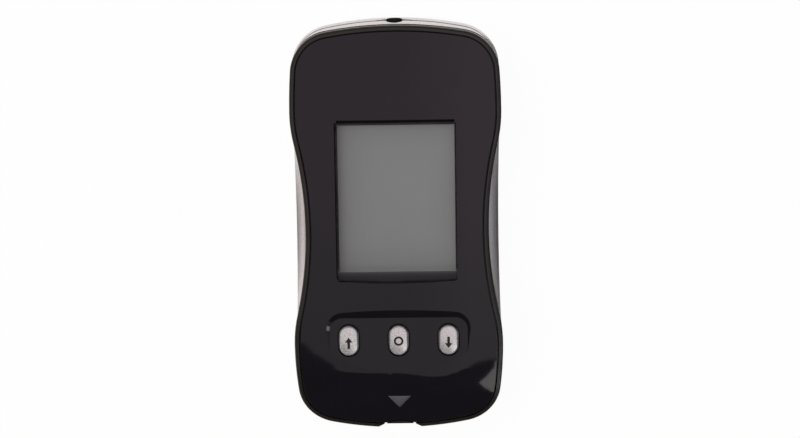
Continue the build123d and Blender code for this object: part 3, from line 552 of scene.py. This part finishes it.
# painted shade in the gaps round the buttons, laid as dark prints
button_gap_shade = []
for button_x in (-BUTTON_PITCH, 0.0, BUTTON_PITCH):
    button_gap_shade += band(*(rim_line(button_x, grow) for grow in BUTTON_RIM))
on_panel = ("front_panel", "housing")
# prints of painted shade on the panel
gap = (*on_panel, GAP_SHADE, "black_panel")

printed("legend_up", arrow(-BUTTON_PITCH, 1), "button_up", "up_button", PRINT_BLACK, "port_black")
printed("legend_select", band(ring_line(RING_R - RING_LINE), ring_line(RING_R)), "button_select",
        "select_button", PRINT_BLACK, "port_black", cuts=1)
printed("legend_down", arrow(BUTTON_PITCH, -1), "button_down", "down_button", PRINT_BLACK,
        "port_black")
printed("strip_mark",
        [[(-MARK_W / 2, MARK_BASE_Y), (0.0, MARK_TIP_Y), (MARK_W / 2, MARK_BASE_Y)]],
        *on_panel, PRINT_GREY, "display_grey", cuts=5)
printed("button_gap_shade", button_gap_shade, *gap, thick_mm=GAP_THICK, cuts=1)
printed("window_gap_shade_top",
        [box_outline((-WINDOW_X + GAP_TOP_IN, WINDOW_X - GAP_TOP_IN),
                     (WINDOW_TOP_Y, WINDOW_TOP_Y + GAP_TOP))],
        *gap, lift_mm=GAP_TOP_LIFT, thick_mm=GAP_THICK, cuts=9)
printed("window_gap_shade_side",
        [box_outline((-WINDOW_X - GAP_SIDE, -WINDOW_X), (WINDOW_LOW_Y, WINDOW_TOP_Y))],
        *gap, thick_mm=GAP_THICK, cuts=5)

# ---------------------------------------------------------------- floor and lights
ROOM_X = 1.2  # half the width of the light bank and of the walls at its ends
ROOM_Y = (-1.7, 0.9)
BANK_Z = 1.0  # the light bank's height over the floor
BANK_LEFT = (0.545, 0.465, 0.50)
BANK_RIGHT = (0.71, 0.595, 0.65)
BANK_BLEND = (0.5, 0.76)  # shares of the edge's width between which one passes into the other
BANK_FADE = (0.78, 0.88, 0.80)  # of the light towards its lower edge
FADE_FROM, FADE_TO = -0.15, -0.40
BANK_DARK = (0.055, 0.052, 0.055)
EDGE_HALF = 0.25  # half the width of the bank's lower edge
EDGE_LOW = -0.65  # the range of its Y
EDGE_TALL = 0.30
EDGE_SOFT = 0.008
# the bank's lower edge, whose reflection rounds the buttons' end of the face
EDGE = [(-0.25, -0.39), (-0.215, -0.41), (-0.19, -0.427), (-0.172, -0.438), (-0.158, -0.446),
        (-0.143, -0.478), (-0.11, -0.508), (-0.05, -0.52), (0.0, -0.538), (0.06, -0.572),
        (0.092, -0.53), (0.118, -0.46), (0.135, -0.445), (0.155, -0.441), (0.18, -0.438),
        (0.25, -0.43)]

WALL_DARK = (0.06, 0.055, 0.05)
END_WALL_DARK = (0.05, 0.045, 0.042)
TOP_WALL_FOOT = 0.06
LEFT_WALL_FOOT = 0.15

SIDE_X = 0.0238  # the side flags begin here, beside the meter
LEFT_FLAG_X = 0.14  # they end here,
RIGHT_FLAG_X = 0.16
LEFT_FADE_X = 0.085  # and reach their lighter colour here
RIGHT_FADE_X = 0.12
FLAG_Z = 0.0004  # just over the floor
FLAG_END = 0.046  # the side flags reach this far along the meter, both ways
FRONT_FLAG_X = 0.05
FRONT_FLAG_Y = (-0.25, -0.0475)
WAIST_AT = -0.002
WAIST_REACH = 0.013
WAIST_FADE = 0.6

RIGHT_CARD_X = (0.16, 0.24)  # at its foot and at its top
RIGHT_CARD_Y = 0.3
RIGHT_CARD_TALL = 0.42
WINDOW_CARD = [(0.178, -0.443), (0.154, -0.685), (0.190, -0.854), (0.42, -0.854), (0.42, -0.443)]
WINDOW_CARD_Z = 0.999  # just under the light bank
SPARK_X = (0.25, 0.274)
SPARK_Y = (-0.62, -0.72)
SPARK_Z = 0.60
SLANT_X = 0.15  # two slanted strips of light stand to the right of the meter
SLANT_Y = (-0.08, -0.17)
SLANT_COLOUR = (0.95, 0.98, 1.0)
SLANTS = {  # heights going up the end nearer to the meter and down the other, and strength
    "edge_strip": ((0.125, 0.145), (0.117, 0.091), 4.5),
    "glint_strip": ((0.145, 0.165), (0.137, 0.117), 2.8),
}

FLOOR_HALF = 3.0
FLOOR_Z = -0.0001
FLOOR_WHITE = 0.95
FLOOR_SHARE = 0.95  # the floor is seen as this much plain white, and the rest takes shadows
WHITE = (1.0, 1.0, 1.0, 1.0)

KEY_STRENGTH = 1.3
KEY_ANGLE = 50  # degrees, how wide the lamp looks
KEY_TILT = (-8, -18)  # degrees about X and Y

# what may not see a card, and what may not see a flag
card = dict(visible_camera=False, visible_shadow=False)
flag = dict(card, visible_diffuse=False, visible_transmission=False)


def stage_plane(name, corners, mat, **sees):
    """A flat piece of the stage; sees turns off what may see it."""
    mesh = bpy.data.meshes.new(name)
    mesh.from_pydata([Vector(c) for c in corners], [], [range(len(corners))])
    mesh.materials.append(mat)
    obj = bpy.data.objects.new(name, mesh)
    scene.collection.objects.link(obj)
    for key, value in sees.items():
        setattr(obj, key, value)


def flat_card(name, x, y, z, mat, **sees):
    """A level piece of the stage between two x and two y."""
    stage_plane(name, [(*corner, z) for corner in box_outline(x, y)], mat, **sees)


def wall(name, start, end, foot, mat, **sees):
    """An upright piece of the stage between two places, from its foot to the light bank."""
    corners = [(*start, foot), (*end, foot), (*end, BANK_Z), (*start, BANK_Z)]
    stage_plane(name, corners, mat, **sees)


def glow(name, colour, strength=1.0):
    """An even light."""
    mat, tn, links = bare_tree(name)
    surfaced(tn, links, emitted(tn, links, (*colour, 1.0), strength))
    return mat


def ceiling_glow(name):
    """The overhead light bank: even over the meter, ending in a curved lower edge."""
    mat, tn, links = bare_tree(name)
    x, y, _ = own_place(tn, links)
    across = mapped(tn, links, x, -EDGE_HALF, EDGE_HALF)
    curve = tn.new("ShaderNodeFloatCurve")
    line = curve.mapping.curves[0].points
    while len(line) < len(EDGE):
        line.new(0.5, 0.5)
    for point, (at_x, at_y) in zip(line, EDGE):
        point.location = ((at_x + EDGE_HALF) / (2 * EDGE_HALF), (at_y - EDGE_LOW) / EDGE_TALL)
    curve.mapping.update()
    links.new(across, curve.inputs["Value"])
    edge = mapped(tn, links, curve.outputs["Value"], 0.0, 1.0, EDGE_LOW, EDGE_LOW + EDGE_TALL)
    above = maths(tn, links, "SUBTRACT", y, edge)
    inside = mapped(tn, links, above, -EDGE_SOFT / 2, EDGE_SOFT / 2, smooth=True)
    lit = ramp(tn, links, across, list(zip(BANK_BLEND, (BANK_LEFT, BANK_RIGHT))))
    down = mapped(tn, links, y, FADE_FROM, FADE_TO)
    fade = ramp(tn, links, down, [(0.0, grey(1.0)), (1.0, BANK_FADE)])
    both = tn.new("ShaderNodeMix")
    both.data_type = "RGBA"
    feed(links, both, {"Factor": inside, "A": (*BANK_DARK, 1.0),
                       "B": multiplied(tn, links, lit, fade)})
    surfaced(tn, links, emitted(tn, links, both.outputs["Result"]))
    return mat


def flag_glow(name, near, far, far_x):
    """A low side flag: dark beside the meter's waist, lighter away from it."""
    mat, tn, links = bare_tree(name)
    math = partial(maths, tn, links)
    x, y, _ = own_place(tn, links)
    out = math("DIVIDE", math("SUBTRACT", math("ABSOLUTE", x), SIDE_X), far_x - SIDE_X)
    along = math("DIVIDE", math("SUBTRACT", y, WAIST_AT), WAIST_REACH)
    fade = math("ADD", out, math("MULTIPLY", math("MULTIPLY", along, along), WAIST_FADE))
    tint = ramp(tn, links, fade, [(0.0, near), (1.0, far)])
    surfaced(tn, links, emitted(tn, links, tint))
    return mat


def floor_material():
    """White to the eye with a soft contact shadow, and open from below."""
    mat, tn, links = bare_tree("floor")
    math = partial(maths, tn, links)
    matte = tn.new("ShaderNodeBsdfDiffuse")
    matte.inputs["Color"].default_value = (*grey(FLOOR_WHITE), 1.0)
    rays = tn.new("ShaderNodeLightPath").outputs
    seen = math("MAXIMUM", rays["Is Camera Ray"], rays["Is Glossy Ray"])
    seen = math("MAXIMUM", seen, rays["Is Transmission Ray"])
    share = math("MULTIPLY", seen, FLOOR_SHARE)
    top = mixed(tn, links, share, matte.outputs["BSDF"], emitted(tn, links, WHITE))
    below = tn.new("ShaderNodeNewGeometry").outputs["Backfacing"]
    clear = tn.new("ShaderNodeBsdfTransparent").outputs["BSDF"]
    surfaced(tn, links, mixed(tn, links, below, top, clear))
    return mat


flat_card("light_bank", (-ROOM_X, ROOM_X), ROOM_Y, BANK_Z, ceiling_glow("light_bank"), **card)
wall("end_wall", (-ROOM_X, ROOM_Y[0]), (ROOM_X, ROOM_Y[0]), 0.0,
     glow("end_wall", END_WALL_DARK), **card)
wall("top_wall", (-ROOM_X, ROOM_Y[1]), (ROOM_X, ROOM_Y[1]), TOP_WALL_FOOT,
     glow("top_wall", WALL_DARK), **flag)
wall("left_wall", (-ROOM_X, ROOM_Y[0]), (-ROOM_X, ROOM_Y[1]), LEFT_WALL_FOOT,
     glow("left_wall", WALL_DARK), **flag)
stage_plane("right_card",
            [(RIGHT_CARD_X[0], -RIGHT_CARD_Y, 0.0), (RIGHT_CARD_X[0], RIGHT_CARD_Y, 0.0),
             (RIGHT_CARD_X[1], RIGHT_CARD_Y, RIGHT_CARD_TALL),
             (RIGHT_CARD_X[1], -RIGHT_CARD_Y, RIGHT_CARD_TALL)],
            glow("right_card", (0.30, 0.32, 0.36)), **card)
flat_card("left_flag", (-LEFT_FLAG_X, -SIDE_X), (-FLAG_END, FLAG_END), FLAG_Z,
          flag_glow("left_flag", (0.20, 0.19, 0.18), (0.88, 0.86, 0.86), LEFT_FADE_X), **flag)
flat_card("right_flag", (SIDE_X, RIGHT_FLAG_X), (-FLAG_END, FLAG_END), FLAG_Z,
          flag_glow("right_flag", (0.03, 0.03, 0.033), (0.17, 0.17, 0.18), RIGHT_FADE_X), **flag)
flat_card("front_flag", (-FRONT_FLAG_X, FRONT_FLAG_X), FRONT_FLAG_Y, FLAG_Z,
          glow("front_flag", (0.22, 0.17, 0.12)), **flag)
stage_plane("window_card", [(*corner, WINDOW_CARD_Z) for corner in WINDOW_CARD],
            glow("window_card", (1.95, 1.88, 1.84)), **card)
for name, (near, far, strength) in SLANTS.items():
    corners = [(SLANT_X, SLANT_Y[0], z) for z in near] + [(SLANT_X, SLANT_Y[1], z) for z in far]
    stage_plane(name, corners, glow(name, SLANT_COLOUR, strength), **flag)
flat_card("spark_card", SPARK_X, SPARK_Y, SPARK_Z, glow("spark_card", (0.62, 0.62, 0.64)), **card)
flat_card("floor", (-FLOOR_HALF, FLOOR_HALF), (-FLOOR_HALF, FLOOR_HALF), FLOOR_Z,
          floor_material())

world = bpy.data.worlds.new("studio")
scene.world = world
world.use_nodes = True
sky = world.node_tree.nodes["Background"]
sky.inputs["Color"].default_value = WHITE
sky.inputs["Strength"].default_value = 1.0

key_data = bpy.data.lights.new("key", "SUN")
key_data.energy = KEY_STRENGTH
key_data.angle = radians(KEY_ANGLE)
key = bpy.data.objects.new("key", key_data)
key.rotation_euler = (radians(KEY_TILT[0]), radians(KEY_TILT[1]), 0)
key.visible_glossy = False
scene.collection.objects.link(key)

# -------------------------------------------------------------------------- camera
CAMERA_AT = Vector((0.0108, 0.09755, 0.550))
TILT = {"X": -10.06, "Y": 1.06, "Z": -0.70}  # degrees
FOCAL_PX = 2434.9
PICTURE_W = 800
SENSOR = 36.0

camera_data = bpy.data.cameras.new("camera")
camera_data.sensor_width = SENSOR
camera_data.lens = FOCAL_PX * SENSOR / PICTURE_W
camera = bpy.data.objects.new("camera", camera_data)
scene.collection.objects.link(camera)
tilt_x, tilt_y, tilt_z = (Matrix.Rotation(radians(angle), 4, axis)
                          for axis, angle in TILT.items())
camera.matrix_world = Matrix.Translation(CAMERA_AT) @ (tilt_x @ tilt_y @ tilt_z)
scene.camera = camera

scene.view_settings.view_transform = "Standard"
